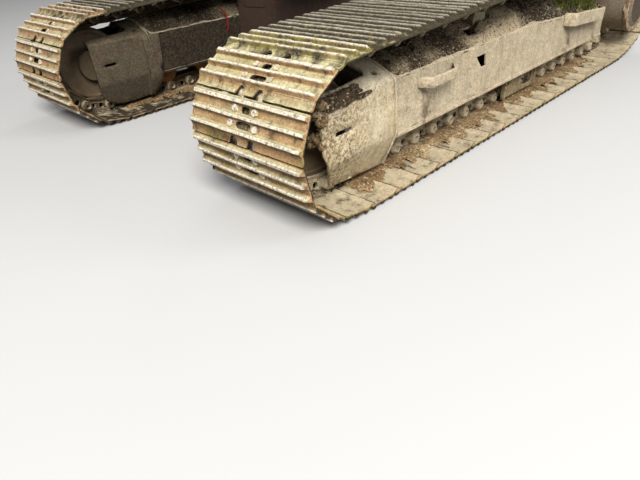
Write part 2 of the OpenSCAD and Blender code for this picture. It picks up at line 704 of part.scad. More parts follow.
side(1) track();  // track_left
side(-1) track();  // track_right
side(1) track_frame();  // track_frame_left
side(-1) track_frame();  // track_frame_right
side(1) idler_guard(1);  // idler_guard_outer_left
side(-1) idler_guard(1);  // idler_guard_outer_right
side(1) idler_guard(-1);  // idler_guard_inner_left
side(-1) idler_guard(-1);  // idler_guard_inner_right
side(1) idler();  // idler_left
side(-1) idler();  // idler_right
side(1) idler_yoke();  // idler_yoke_left
side(-1) idler_yoke();  // idler_yoke_right
side(1) track_rollers();  // track_rollers_left
side(-1) track_rollers();  // track_rollers_right
side(1) carrier_rollers();  // carrier_rollers_left
side(-1) carrier_rollers();  // carrier_rollers_right
side(1) roller_guard();  // roller_guard_left
side(-1) roller_guard();  // roller_guard_right
side(1) sprocket();  // sprocket_left
side(-1) sprocket();  // sprocket_right
side(1) final_drive();  // final_drive_left
side(-1) final_drive();  // final_drive_right
side(1) travel_motor();  // travel_motor_left
side(-1) travel_motor();  // travel_motor_right
side(1) motor_guard();  // motor_guard_left
side(-1) motor_guard();  // motor_guard_right
side(1) steps();  // steps_left
side(-1) steps();  // steps_right
car_body();
leg();  // leg_front_left
mirror([0, 1, 0]) leg();  // leg_front_right
mirror([1, 0, 0]) leg();  // leg_rear_left
mirror([1, 0, 0]) mirror([0, 1, 0]) leg();  // leg_rear_right
belly_cover();
slew_ring_inner();
slew_ring_outer();
swivel_base();
swivel_rotor();
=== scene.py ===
import random
from math import acos, asin, atan2, copysign, cos, hypot, pi, radians, sin, sqrt

import bmesh
import bpy
import numpy as np
from mathutils import Matrix, Vector, noise


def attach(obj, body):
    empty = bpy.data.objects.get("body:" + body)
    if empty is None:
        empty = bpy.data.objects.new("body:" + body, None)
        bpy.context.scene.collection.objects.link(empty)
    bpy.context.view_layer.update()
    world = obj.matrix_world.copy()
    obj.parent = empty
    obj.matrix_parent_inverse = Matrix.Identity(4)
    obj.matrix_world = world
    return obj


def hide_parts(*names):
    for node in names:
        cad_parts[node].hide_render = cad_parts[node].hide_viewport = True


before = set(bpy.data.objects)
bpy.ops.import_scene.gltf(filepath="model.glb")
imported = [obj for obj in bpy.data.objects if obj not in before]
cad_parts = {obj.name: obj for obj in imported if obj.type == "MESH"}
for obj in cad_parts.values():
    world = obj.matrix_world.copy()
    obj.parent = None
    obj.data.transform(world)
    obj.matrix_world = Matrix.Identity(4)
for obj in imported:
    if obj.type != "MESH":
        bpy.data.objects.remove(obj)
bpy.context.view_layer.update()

scene = bpy.context.scene
mm = 0.001
gauge = 2390
sides = {"left": 1, "right": -1}
shift, spin = Matrix.Translation, Matrix.Rotation


def ripple(*place):
    return noise.noise(Vector(place))


def linked(name, data):
    obj = bpy.data.objects.new(name, data)
    scene.collection.objects.link(obj)
    return obj


# Shader nodes

class Graph:
    def __init__(self, tree):
        self.tree = tree

    def add(self, kind, inputs=None, **settings):
        node = self.tree.nodes.new(kind if kind.startswith("NodeGroup") else "ShaderNode" + kind)
        for key, value in settings.items():
            setattr(node, key, value)
        for key, value in (inputs or {}).items():
            self.feed(node.inputs[key], value)
        return node

    def feed(self, socket, value):
        if isinstance(value, bpy.types.NodeSocket):
            self.tree.links.new(value, socket)
        else:
            socket.default_value = value

    def math(self, operation, a, b):
        return self.add("Math", {0: a, 1: b}, operation=operation).outputs[0]

    def plus(self, a, b):
        return self.math("ADD", a, b)

    def times(self, a, b):
        return self.math("MULTIPLY", a, b)

    def ramp(self, value, low, high, start=0.0, end=1.0):
        return self.add("MapRange", {0: value, 1: low, 2: high, 3: start, 4: end}).outputs[0]

    def mix(self, share, a, b, blend="MIX"):
        node = self.tree.nodes.new("ShaderNodeMix")
        node.data_type, node.blend_type = "RGBA", blend
        for socket, value in zip((node.inputs[0], node.inputs[6], node.inputs[7]), (share, a, b)):
            self.feed(socket, value)
        return node.outputs[2]

    def noise(self, vector, scale, detail, rough):
        node = self.add("TexNoise", {"Vector": vector, "Scale": scale, "Detail": detail, "Roughness": rough})
        return node.outputs["Fac"]

    # Value of a mesh attribute
    def mark(self, name):
        return self.add("Attribute", attribute_name=name).outputs["Fac"]

    # Light and dark grains laid over a colour
    def grained(self, tone, grain, *ends):
        shades = self.ramp(grain, *ends)
        return self.mix(1.0, tone, self.add("CombineColor", {i: shades for i in range(3)}).outputs[0], "MULTIPLY")


def srgb(r, g, b):
    return tuple(((c / 255 + 0.055) / 1.055) ** 2.4 if c > 10 else c / 255 / 12.92 for c in (r, g, b)) + (1.0,)


def shaded(colour, share):
    return [min(1, c * share) for c in colour[:3]] + [1]


finishes = {}


def newMaterial(name):
    mat = bpy.data.materials.new(name)
    mat.use_nodes = True
    finishes[name] = mat
    return Graph(mat.node_tree), mat.node_tree.nodes["Principled BSDF"].inputs


# Camera, lights and floor

camera = {"place": (3.567, 3.086, 1.319), "yaw": -133.69, "pitch": -32.09, "roll": -4.32, "lens": 29.91,
          "sensor": 36, "clipEnd": 200}


def addCamera():
    yaw, pitch, roll = (radians(camera[k]) for k in ("yaw", "pitch", "roll"))
    ahead = Vector((cos(pitch) * cos(yaw), cos(pitch) * sin(yaw), sin(pitch)))
    level = Vector((ahead.y, -ahead.x, 0)).normalized()
    upright = level.cross(ahead)
    right = cos(roll) * level + sin(roll) * upright
    up = -sin(roll) * level + cos(roll) * upright
    data = bpy.data.cameras.new("camera")
    data.lens, data.sensor_width, data.clip_end = camera["lens"], camera["sensor"], camera["clipEnd"]
    eye = linked("camera", data)
    eye.matrix_world = shift(camera["place"]) @ Matrix((right, up, -ahead)).transposed().to_4x4()
    scene.camera = eye


# Name, place, aim, size, watts and colour of each lamp
lights = [
    ("key", (8.6, 9.6, 11.4), (0.5, 1.2, 0.3), 8.0, 4300, (1, 0.985, 0.955)),
    ("top", (0.6, 0.4, 6.5), (0.5, 0.5, 0.3), 5.0, 50, (0.97, 0.985, 1)),
    ("side", (-5.5, 10.0, 6.5), (-0.6, 1.2, 0.3), 5.0, 480, (0.98, 0.99, 1)),
    ("back", (-6.0, -4.0, 4.5), (0, 0, 0.4), 4.0, 160, (1, 1, 1)),
]
# Colour of the surroundings as seen, and as they light the machine
sky = {"shown": (1, 1, 1, 1), "soft": (0.3, 0.31, 0.33, 1)}


def addLights():
    for name, place, aim, size, watts, colour in lights:
        data = bpy.data.lights.new(name, "AREA")
        data.shape, data.size, data.energy, data.color = "DISK", size, watts, colour
        lamp = linked(name, data)
        lamp.location = place
        lamp.rotation_euler = (Vector(aim) - Vector(place)).to_track_quat("-Z", "Y").to_euler()
    world = bpy.data.worlds.new("studio")
    scene.world = world
    world.use_nodes = True
    world.node_tree.nodes.clear()
    g = Graph(world.node_tree)
    seen = g.add("LightPath").outputs["Is Camera Ray"]
    soft, shown = (g.add("Background", {"Color": sky[key]}).outputs[0] for key in ("soft", "shown"))
    g.add("OutputWorld", {"Surface": g.add("MixShader", {0: seen, 1: soft, 2: shown}).outputs[0]})
    scene.view_settings.view_transform = "Standard"


# The floor looks pale but throws back as little light as gravel does
ground = {"size": 60, "z": -0.0005, "rough": 0.9, "gloss": 0.1, "shown": (0.5, 0.495, 0.485, 1),
          "thrown": (0.2, 0.195, 0.185, 1)}


def addFloor():
    bpy.ops.mesh.primitive_plane_add(size=ground["size"])
    floor = bpy.context.object
    floor.name = "floor"
    floor.location.z = ground["z"]
    g, shader = newMaterial("floor")
    shader["Roughness"].default_value = ground["rough"]
    shader["Specular IOR Level"].default_value = ground["gloss"]
    seen = g.add("LightPath").outputs["Is Camera Ray"]
    g.feed(shader["Base Color"], g.mix(seen, ground["thrown"], ground["shown"]))
    floor.data.materials.append(finishes["floor"])


addCamera()
addLights()
addFloor()
print("stage done")


# Scale, detail and roughness of the plain noise masks
grit = {"Coarse": (3.2, 5.0, 0.62), "Medium": (17.0, 5.0, 0.65), "Fine": (130.0, 3.0, 0.7),
        "Speckle": (62.0, 2.0, 0.6), "Grain": (84.0, 6.0, 0.85)}


# Grit, pits, streaks and lying dust, and the faces turned down or inward where shade is painted, as masks that every
# steel surface shares
def makeGrime():
    tree = bpy.data.node_groups.new("grime", "ShaderNodeTree")
    tree.interface.new_socket("Seed", in_out="INPUT", socket_type="NodeSocketFloat")
    for mask in (*grit, "Pits", "Blotch", "Streaks", "Up", "Down", "Inward"):
        tree.interface.new_socket(mask, in_out="OUTPUT", socket_type="NodeSocketFloat")
    g = Graph(tree)
    seed, out = g.add("NodeGroupInput").outputs["Seed"], g.add("NodeGroupOutput").inputs
    place = g.add("TexCoord").outputs["Object"]
    seeds = g.add("CombineXYZ", {axis: seed for axis in range(3)}).outputs[0]
    moved = g.add("VectorMath", {0: place, 1: seeds}, operation="ADD").outputs[0]
    for mask, values in grit.items():
        g.feed(out[mask], g.noise(moved, *values))
    g.feed(out["Blotch"], g.ramp(g.noise(moved, 60.0, 6.0, 0.8), 0.49, 0.522))
    cells = g.add("TexVoronoi", {"Vector": moved, "Scale": 75.0, "Randomness": 1.0}).outputs["Distance"]
    patches = g.ramp(g.noise(moved, 9.0, 3.0, 0.55), 0.5, 0.62)
    g.feed(out["Pits"], g.times(g.ramp(cells, 0.34, 0.2), patches))
    drawn = g.add("Mapping", {"Vector": moved, "Scale": (26, 26, 2.4)}).outputs[0]
    g.feed(out["Streaks"], g.noise(drawn, 1.0, 4.0, 0.6))
    normal = g.add("SeparateXYZ", {0: g.add("NewGeometry").outputs["Normal"]}).outputs
    across = g.add("SeparateXYZ", {0: place}).outputs[1]
    g.feed(out["Up"], g.ramp(normal[2], 0.15, 0.8))
    # Faces turned down, and faces turned towards the middle of the machine, for painted shade
    g.feed(out["Down"], g.ramp(normal[2], -0.05, -0.6))
    g.feed(out["Inward"], g.ramp(g.times(normal[1], across), -0.25, -0.6))
    return tree


grime = makeGrime()


# A weathered finish: paint or steel under rust patches, a dust film, pits and streaks, with painted shade on faces
# turned down or inward
def finish(name, steel, dust, rust, shade=None, dusty=0.5, rusty=0.3, pitted=0.4, streaky=0.3,
           inner=None, rough=0.8, metal=0.0, bump=0.0015, seed=0.0, wear=None, other=None, mud=None, grain=0.25,
           under=0.0, blotch=0.0, blotchFrom=None):
    g, shader = newMaterial(name)
    shade = srgb(*shade) if shade else (0.05, 0.04, 0.03, 1)
    steel, dust, rust, inner, wear, other, mud = (c and srgb(*c) for c in (steel, dust, rust, inner, wear, other, mud))
    o = g.add("Group", {"Seed": seed}, node_tree=grime).outputs
    if other:
        tint = g.plus(g.mark("tint"), g.ramp(o["Coarse"], 0.3, 0.7, -0.5, 0.5))
        steel = g.mix(g.ramp(tint, 0.25, 0.75), steel, other)
        dark = g.mix(0.3, steel, shade)
    else:
        dark = shaded(steel, 0.72)
    tone = g.mix(g.ramp(o["Medium"], 0.3, 0.75), steel, dark)
    rusted = g.plus(o["Medium"], g.times(o["Coarse"], 0.6))
    tone = g.mix(g.ramp(rusted, 1.0 - 0.35 * rusty, 1.1 - 0.35 * rusty), tone, rust)
    cover = g.plus(g.times(o["Coarse"], 1.1), g.times(o["Up"], 0.45))
    cover = g.ramp(g.plus(cover, g.times(o["Fine"], 0.35)), 1.15 - dusty, 1.4 - dusty)
    tone = g.mix(cover, tone, g.mix(g.ramp(o["Medium"], 0.35, 0.7), dust, shaded(dust, 0.7)))
    # Painted shade on faces turned down, in the shade colour
    if under:
        tone = g.mix(g.times(o["Down"], under), tone, shade)
    if mud:
        depth = g.plus(g.mark("mud"), g.ramp(o["Medium"], 0.3, 0.7, -0.5, 0.3))
        tone = g.mix(g.ramp(depth, 0.1, 0.55), tone, g.mix(g.ramp(o["Fine"], 0.35, 0.65), mud, shaded(mud, 0.5)))
    tone = g.mix(g.times(g.ramp(o["Streaks"], 0.52, 0.75), streaky), tone, shade)
    # Painted shade on faces turned towards the middle of the machine, in the inner colour
    if inner:
        tone = g.mix(o["Inward"], tone, g.mix(g.ramp(o["Medium"], 0.35, 0.7), inner, shaded(inner, 0.5)))
    if wear:
        edge = g.ramp(g.plus(g.mark("wear"), g.times(o["Fine"], 0.6)), 0.98, 1.16)
        edge = g.times(edge, g.ramp(g.mark("mud"), 0.2, 0.9, 1.0, 0.34))
        tone = g.mix(edge, tone, g.mix(g.ramp(o["Speckle"], 0.5, 0.68), wear, shaded(wear, 0.4)))
    tone = g.mix(g.times(o["Pits"], pitted), tone, shade)
    if blotch:
        spots = g.times(o["Blotch"], blotch)
        if blotchFrom:
            along = g.add("SeparateXYZ", {0: g.add("TexCoord").outputs["Object"]}).outputs[0]
            uneven = g.plus(along, g.times(o["Coarse"], 0.25))
            spots = g.times(spots, g.ramp(uneven, *blotchFrom, 0.25, 1.0))
        tone = g.mix(spots, tone, [c * share for c, share in zip(dust, (0.25, 0.2, 0.15))] + [1])
    g.feed(shader["Base Color"], g.grained(tone, o["Grain"], 0.33, 0.67, 1 - grain, 1 + grain))
    g.feed(shader["Roughness"], g.ramp(o["Fine"], 0.3, 0.7, rough - 0.1, min(1.0, rough + 0.1)))
    shader["Metallic"].default_value = metal
    shader["Specular IOR Level"].default_value = 0.25
    height = g.plus(g.times(o["Fine"], 0.5), g.times(o["Medium"], 1.2))
    height = g.math("SUBTRACT", height, g.times(o["Pits"], 1.2 * pitted))
    height = g.plus(height, g.times(o["Grain"], 1.5 * grain))
    g.feed(shader["Normal"], g.add("Bump", {"Height": height, "Distance": bump, "Strength": 0.9}).outputs[0])


# Loose earth: two soil colours under pale dust, with grit in it, and painted shade on faces turned towards the
# machine's middle
def earth(name, wet, dry, pale):
    g, shader = newMaterial(name)
    wet, dry, pale = (srgb(*c) for c in (wet, dry, pale))
    dusty, bump = 0.2, 0.004
    o = g.add("Group", node_tree=grime).outputs
    tone = g.mix(g.ramp(o["Medium"], 0.38, 0.62), wet, dry)
    paleCover = g.plus(g.times(g.mark("tint"), 0.24), g.plus(o["Coarse"], g.times(o["Grain"], 0.9)))
    tone = g.mix(g.ramp(paleCover, 1.12 - dusty, 1.42 - dusty), tone, pale)
    tone = g.mix(g.times(g.ramp(o["Speckle"], 0.62, 0.7), 0.7), tone, shaded(pale, 1.5))
    tone = g.mix(g.times(g.ramp(o["Speckle"], 0.42, 0.34), 0.8), tone, shaded(wet, 0.3))
    # Painted shade on faces turned towards the middle of the machine
    tone = g.mix(g.times(o["Inward"], 0.6), tone, shaded(wet, 0.4))
    g.feed(shader["Base Color"], g.grained(tone, o["Grain"], 0.36, 0.64, 0.5, 1.5))
    shader["Roughness"].default_value = 0.95
    shader["Specular IOR Level"].default_value = 0.15
    height = g.plus(g.times(o["Fine"], 0.7), g.times(o["Speckle"], 0.9))
    g.feed(shader["Normal"], g.add("Bump", {"Height": height, "Distance": bump, "Strength": 1.0}).outputs[0])


# Painted shade: under darkens the shoes' downward faces, and inner colours darken faces turned to the machine's middle
finish("shoe_outer", (128, 117, 60), (184, 174, 134), (140, 108, 78), dusty=0.22, rusty=0.4, streaky=0.1,
       wear=(214, 204, 184), other=(172, 138, 100), mud=(72, 65, 48), grain=0.55, under=0.3, shade=(84, 66, 44))
# Its mud colour also paints the shade inside raised shoes
finish("shoe_inner", (160, 144, 114), (180, 165, 136), (140, 112, 80), mud=(60, 50, 38), grain=0.4)
finish("link_steel", (184, 168, 138), (206, 192, 162), (128, 94, 62), dusty=0.6, rusty=0.4, streaky=0.0, blotch=0.4,
       grain=0.4, inner=(78, 66, 50))
finish("frame_dust", (186, 170, 141), (198, 183, 155), (150, 118, 84), dusty=0.6, rusty=0.1, pitted=0.7,
       inner=(36, 31, 24), bump=0.003, shade=(96, 82, 62), blotch=0.25, grain=0.36, mud=(128, 112, 92))
finish("guard_dust", (202, 184, 148), (214, 201, 173), (156, 122, 86), rusty=0.15, pitted=0.6, streaky=0.35,
       inner=(44, 38, 29), bump=0.005, seed=3.7, shade=(104, 90, 66), blotch=0.9, blotchFrom=(1.7, 1.88), grain=0.28)
# frame_shade and guard_shade are darker copies of the frame and guard finishes: painted shade for plates in shadow
finish("frame_shade", (92, 82, 66), (106, 95, 76), (94, 68, 48), dusty=0.35, streaky=0.5, bump=0.009, blotch=0.5,
       grain=0.4)
finish("wheel_dark", (104, 88, 68), (128, 112, 88), (96, 70, 48), dusty=0.3, rusty=0.2, pitted=0.1, streaky=0.1,
       rough=0.7)
finish("roller_steel", (146, 104, 66), (168, 144, 108), (140, 84, 48), dusty=0.35, rusty=0.5, grain=0.35)
finish("guard_shade", (150, 134, 104), (172, 156, 124), (128, 92, 62), dusty=0.4, streaky=0.4, blotch=0.6, grain=0.3)
finish("yoke_steel", (92, 80, 60), (112, 98, 76), (90, 66, 46), dusty=0.4)
finish("drive_steel", (128, 114, 96), (146, 132, 110), (126, 90, 64), dusty=0.4, rusty=0.25, blotch=0.3, grain=0.3)
finish("body_paint", (62, 48, 40), (76, 62, 50), (78, 50, 38), dusty=0.2, pitted=0.2, streaky=0.5)
finish("ring_steel", (126, 124, 120), (140, 128, 108), (128, 84, 54), dusty=0.2, pitted=0.1, streaky=0.0, rough=0.45,
       metal=0.7, bump=0.0006)
earth("soil", (44, 37, 27), (74, 62, 46), (166, 150, 122))
earth("mud", (96, 74, 50), (128, 104, 74), (180, 160, 124))
finish("stone", (140, 134, 120), (164, 154, 136), (110, 94, 74), dusty=0.4, pitted=0.3, inner=(70, 62, 50))
finish("moss", (98, 106, 42), (134, 134, 72), (98, 86, 50), dusty=0.2, rusty=0.2, bump=0.001)
finish("rim_rust", (172, 150, 122), (200, 184, 158), (142, 98, 74), dusty=0.45, rusty=0.55, blotch=0.6, grain=0.4)
finish("red_paint", (120, 34, 30), (90, 60, 50), (70, 40, 34), dusty=0.2, rusty=0.2, rough=0.55)
print("finishes done")


# Mesh helpers: a chunk is (points, faces, material of each face, [wear, tint, mud] of each point)

def chunkOf(points, faces, wear=0.0):
    points = np.asarray(points, float)
    marks = np.zeros((len(points), 3))
    marks[:, 0] = wear
    return points, [tuple(f) for f in faces], [0] * len(faces), marks


def joined(chunks):
    points, faces, materials, worn, start = [], [], [], [], 0
    for p, f, m, w in chunks:
        points.append(p)
        worn.append(w)
        faces += [tuple(i + start for i in face) for face in f]
        materials += m
        start += len(p)
    return np.concatenate(points), faces, materials, np.concatenate(worn)


def moved(chunk, matrix):
    return chunk[0] @ np.array(matrix.to_3x3()).T + np.array(matrix.translation), *chunk[1:]


# Matrix from a track unit's own millimetres to the machine's; mirrored is -1 for a mirrored unit
def unitFrame(side, mirrored):
    return Matrix(((1, 0, 0, 0), (0, mirrored, 0, side * gauge / 2), (0, 0, 1, 0), (0, 0, 0, 1)))


# Flat plate with holes, lying in x and y, with softened edges; everything in millimetres
def cutPlate(outline, holes, thick, edge=1.2):
    curve = bpy.data.curves.new("cut", "CURVE")
    curve.dimensions, curve.fill_mode = "2D", "BOTH"
    curve.extrude, curve.bevel_depth, curve.bevel_resolution, curve.offset = thick / 2 - edge, edge, 0, -edge
    for ring in [outline] + holes:
        spline = curve.splines.new("POLY")
        spline.points.add(len(ring) - 1)
        spline.use_cyclic_u = True
        for point, (x, y) in zip(spline.points, ring):
            point.co = (x, y, 0, 1)
    obj = linked("cut", curve)
    graph = bpy.context.evaluated_depsgraph_get()
    mesh = bpy.data.meshes.new_from_object(obj.evaluated_get(graph))
    points = np.array([v.co[:] for v in mesh.vertices])
    faces = [tuple(p.vertices) for p in mesh.polygons]
    bpy.data.objects.remove(obj)
    bpy.data.meshes.remove(mesh)
    bpy.data.curves.remove(curve)
    return chunkOf(points, faces)


def turns(count):
    return [2 * pi * i / count for i in range(count)]


# Closed loop round (x, y): an ellipse, or a rounded rectangle when the power is higher
def ringOf(x, y, rx, ry, count, power):
    def swollen(part):
        return copysign(abs(part) ** (2 / power), part)
    return [(x + rx * swollen(cos(a)), y + ry * swollen(sin(a))) for a in turns(count)]


# Closed skin over a list of ring sections of equal length, with flat ends
def loft(sections, wear=0.0):
    n = len(sections[0])
    points = [p for s in sections for p in s]
    faces = []
    for i in range(len(sections) - 1):
        for j in range(n):
            a, b = i * n + j, i * n + (j + 1) % n
            faces.append((a, b, b + n, a + n))
    faces += [tuple(range(n - 1, -1, -1)), tuple(range((len(sections) - 1) * n, len(sections) * n))]
    return chunkOf(points, faces, wear)


# Turned piece about the y axis from points of (radius, y)
def turned(profile, count, wear=0.0):
    return loft([[(r * cos(a), y, -r * sin(a)) for a in turns(count)] for r, y in profile], wear)


# Hexagon bolt head standing on z = 0 with a chamfered top
def hexHead(radius, height):
    rings = [(radius, 0), (radius, height * 0.8), (radius * 0.86, height)]
    return loft([[(r * cos(a), r * sin(a), z) for a in turns(6)] for r, z in rings], wear=0.9)


# Puts a finished mesh into the scene on its body, and hides what it replaces
def show(mesh, slot, body="root", replaces=(), smooth=35):
    mesh.shade_smooth()
    mesh.set_sharp_from_angle(angle=radians(smooth))
    obj = linked(mesh.name, mesh)
    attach(obj, body)
    if replaces:
        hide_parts(*replaces)
    print(obj.name, len(mesh.polygons), "faces")


def markPoints(mesh, label, values):
    mesh.attributes.new(label, "FLOAT", "POINT").data.foreach_set("value", np.array(values, np.float32))


def build(name, chunks, materials, slot, **settings):
    points, faces, index, worn = joined(chunks)
    mesh = bpy.data.meshes.new(name)
    mesh.from_pydata(points * mm, [], faces)
    mesh.polygons.foreach_set("material_index", np.array(index, np.int32))
    for label, values in zip(("wear", "tint", "mud"), worn.T):
        markPoints(mesh, label, values)
    bm = bmesh.new()
    bm.from_mesh(mesh)
    bmesh.ops.recalc_face_normals(bm, faces=bm.faces)
    bm.to_mesh(mesh)
    bm.free()
    for key in materials:
        mesh.materials.append(finishes[key])
    show(mesh, slot, **settings)


# Sum of noise octaves, each as its size and height in millimetres
def rough(x, y, seed, *octaves):
    return sum(high * ripple(x / size, y / size, seed) for size, high in octaves)


def ease(value, width):
    t = max(0.0, min(1.0, value / width))
    return t * t * (3 - 2 * t)


# Sheet of earth over a rectangle, left out where its height is None
def sheetOf(x0, x1, y0, y1, cell, height):
    xs, ys = np.arange(x0, x1 + 1, cell), np.arange(y0, y1 + 1, cell)
    index, points, faces = {}, [], []
    for i, x in enumerate(xs):
        for j, y in enumerate(ys):
            z = height(float(x), float(y))
            if z is not None:
                index[i, j] = len(points)
                points.append((x, y, z))
    for i, j in index:
        ring = [(i, j), (i + 1, j), (i + 1, j + 1), (i, j + 1)]
        if all(q in index for q in ring):
            faces.append([index[q] for q in ring])
    return chunkOf(points, faces)


# Path of the link pins, as in the part's source

chain = {"pitch": 190, "shoes": 49, "pinZ": 90, "idlerR": 314, "sprocketZ": 450, "sprocketPins": 10.5,
         "lastRoller": 378, "riseBehind": 130, "riseR": 800, "rearX": -800, "frontX": 334, "carrierZ": 652,
         "carrierR": 114, "pinAngle": 40.4}
pitch = chain["pitch"]
sprocketR = pitch / 2 / sin(pi / chain["sprocketPins"])
idlerZ = chain["pinZ"] + chain["idlerR"]


# Circles that the pins run round, as x, z and radius
def belt(span):
    return [(span / 2, idlerZ, chain["idlerR"]),
            (chain["lastRoller"] - chain["riseBehind"] - span / 2, chain["pinZ"] + chain["riseR"], chain["riseR"]),
            (-span / 2, chain["sprocketZ"], sprocketR),
            (chain["rearX"], chain["carrierZ"], chain["carrierR"]),
            (chain["frontX"], chain["carrierZ"], chain["carrierR"])]


# Stretches of the belt as links, circle, angle and turn of one link, which is 0 on a straight
def stretches(circles):
    count = len(circles)
    runs = []
    for i in range(count):
        (x0, z0, r0), (x1, z1, r1) = circles[i], circles[(i + 1) % count]
        gap = hypot(x1 - x0, z1 - z0)
        runs.append((atan2(z1 - z0, x1 - x0) + acos((r0 - r1) / gap), sqrt(gap ** 2 - (r0 - r1) ** 2)))
    made = []
    for i in range(count):
        fall = (runs[i - 1][0] - runs[i][0]) % (2 * pi)
        fall -= 2 * pi if fall > radians(350) else 0
        linkTurn = 2 * asin(pitch / 2 / circles[i][2])
        made += [(fall / linkTurn, i, runs[i - 1][0], linkTurn), (runs[i][1] / pitch, i, runs[i][0], 0)]
    return made


# The span between idler and sprocket takes up what is missing from a whole number of links
span = chain["shoes"] * pitch * 0.4
for attempt in range(6):
    span += (chain["shoes"] - sum(s[0] for s in stretches(belt(span)))) * pitch / 2
circles, path = belt(span), stretches(belt(span))
sprocketX = -span / 2


def pathPoint(links):
    for count, i, angle, linkTurn in path:
        if links <= count:
            break
        links -= count
    x, z, r = circles[i]
    angle -= links * linkTurn
    point = np.array((x + r * cos(angle), z + r * sin(angle)))
    return point if linkTurn else point + links * pitch * np.array((sin(angle), -cos(angle)))


loopLinks = sum(s[0] for s in path)
start = (path[0][2] - radians(chain["pinAngle"])) % (2 * pi) / path[0][3]
pins = [pathPoint((k + start) % loopLinks) for k in range(chain["shoes"])]


# Matrix from a link's own (along, across, outward) millimetres to the machine's
def linkFrame(k, side):
    a, b = pins[k], pins[(k + 1) % chain["shoes"]]
    along = (b - a) / np.linalg.norm(b - a)
    centre = (a + b) / 2
    return Matrix(((along[0], 0, -along[1], centre[0]), (0, side, 0, side * gauge / 2),
                   (along[1], 0, along[0], centre[1]), (0, 0, 0, 1)))


# Shoes: bars as place and half crest, holes as place and half sizes, bolts as place and distance from the middle

shoe = {"front": -72, "back": 96, "lip": 141, "half": 396, "inner": 53, "thick": 11, "barHalf": 395, "barHigh": 26,
        "barEnds": [378, 392, 395], "foot": 15, "boltR": 18, "boltHigh": 14, "notchY": 64, "notchHalf": 31,
        "notchEnd": 99, "bars": ((-56, 9), (14, 7), (84, 7)), "holes": ((-21, 30, 17), (49, 53, 18)),
        "bolts": ((-21, 68), (49, 87))}
# The lip's upper face, as distances along the link and heights over the pins
lipTop = ((80, 64), (97, 63.5), (106, 59), (114, 53.5), (122, 50.5), (141, 49.5))
notchSteps = (-1.05, -0.97, -0.85, -0.6, 0, 0.6, 0.85, 0.97, 1.05)


def lipEnd(y, k, side):
    off = min(1.0, abs(abs(y) - shoe["notchY"]) / shoe["notchHalf"])
    ragged = 2.5 * ripple(y * 0.03, k * 3.3, side * 5.0)
    return shoe["lip"] - (shoe["lip"] - shoe["notchEnd"]) * sqrt(1 - off ** 2) + ragged


# Trailing edge of a shoe, which curves in under the next shoe and leaves room for its links
def lipChunk(k, side):
    rows = [0.0] + [shoe["notchY"] + shoe["notchHalf"] * c for c in notchSteps] + [115 + 35 * i for i in range(9)]
    count, first = 7, lipTop[0][0]
    sections = []
    for y in [-v for v in rows[:0:-1]] + rows:
        end = lipEnd(y, k, side)
        stations = [first + (end - first) * i / (count - 1) for i in range(count)]
        upper = [(u, y, float(np.interp(u, [p[0] for p in lipTop], [p[1] for p in lipTop]))) for u in stations]
        sections.append(upper + [(u, y, h - shoe["thick"] + 0.6) for u, y, h in reversed(upper)])
    p, f, m, w = loft(sections, wear=0.2)
    m = [int(i < len(f) - 2 and count <= i % (2 * count) < 2 * count - 1) for i in range(len(f))]
    w[count::2 * count, 2] = 1.3
    return p, f, m, w


# Plate with its mud holes, three bars and four bolts, in a link's own frame
def shoeChunks():
    half = shoe["half"]
    outline = [(shoe["front"], -half), (shoe["back"], -half), (shoe["back"], half), (shoe["front"], half)]
    holes = [ringOf(u, 0, short, long, 16, 3.0) for u, long, short in shoe["holes"]]
    p, f, m, w = cutPlate(outline, holes, shoe["thick"])
    middle = shoe["inner"] + shoe["thick"] / 2
    p[:, 2] += middle
    m = [int(p[list(q), 2].mean() < middle - 2) for q in f]
    top = shoe["inner"] + shoe["thick"] - 1
    foot, ends = shoe["foot"], shoe["barEnds"]
    bars, bolts = [], []
    for u, crest in shoe["bars"]:
        sections, worn = [], []
        for y in [-end for end in reversed(ends)] + [-350 + 35 * i for i in range(21)] + ends:
            high = shoe["barHigh"] * min(1.0, (shoe["barHalf"] - abs(y)) / 14 * 0.3 + 0.7) + 1
            flank = [(foot + 4, 0), (foot - 1, 3), (crest + 2.5, high * 0.55), (crest, high * 0.9), (crest - 2, high)]
            profile = [(-x, h) for x, h in flank] + flank[::-1]
            sections.append([(u + x, y, top + h) for x, h in profile])
            worn += [h / shoe["barHigh"] for x, h in profile]
        bars.append(loft(sections, worn))
    for u, y in shoe["bolts"]:
        for s in (-1, 1):
            head = hexHead(shoe["boltR"], shoe["boltHigh"])
            bolts.append(moved(head, shift((u, s * y, top)) @ spin(0.4 * u * s, 4, "Z")))
    return [(p, f, m, w)] + bars + bolts


# Worn crests are chipped down and along; their ends are chipped in
chips = {"deep": (0.2, 0.9, 1.9), "along": 1.2, "ends": (370, 2, 4)}
# How deep mud lies and how bright crests stay on the upper run, both rising rearward from a place; then mud round
# the idler and sprocket, mud and painted shade inside raised shoes, and mud on the bar ends and the inner half of shoes
# on the ground
caked = {"run": (0.15, 0.85, 1930, 300), "bright": (0.84, 0.12, 1300, 1200), "wrap": 0.12, "inside": (1.2, 97),
         "barEnd": (1.2, 380), "innerHalf": (0.75, -90)}


def growing(place, least, more, rearOf, over):
    return least + more * min(1.0, max(0.0, (rearOf - place) / over))


def chipped(points, worn, k, side):
    (least, mean, deep), (endFrom, endMean, endSwing) = chips["deep"], chips["ends"]
    for i in np.nonzero(worn > 0.5)[0]:
        spot = Vector((points[i, 0] * 0.01 + k * 7.3, points[i, 1] * 0.012, side * 3.1))
        ragged = noise.noise(spot) + 0.6 * noise.noise(spot * 3.7)
        points[i, 2] -= max(least, mean + ragged) * deep
        points[i, 0] += chips["along"] * ragged * worn[i]
        if abs(points[i, 1]) > endFrom:
            points[i, 1] -= copysign(max(0, endMean + endSwing * ragged), points[i, 1])


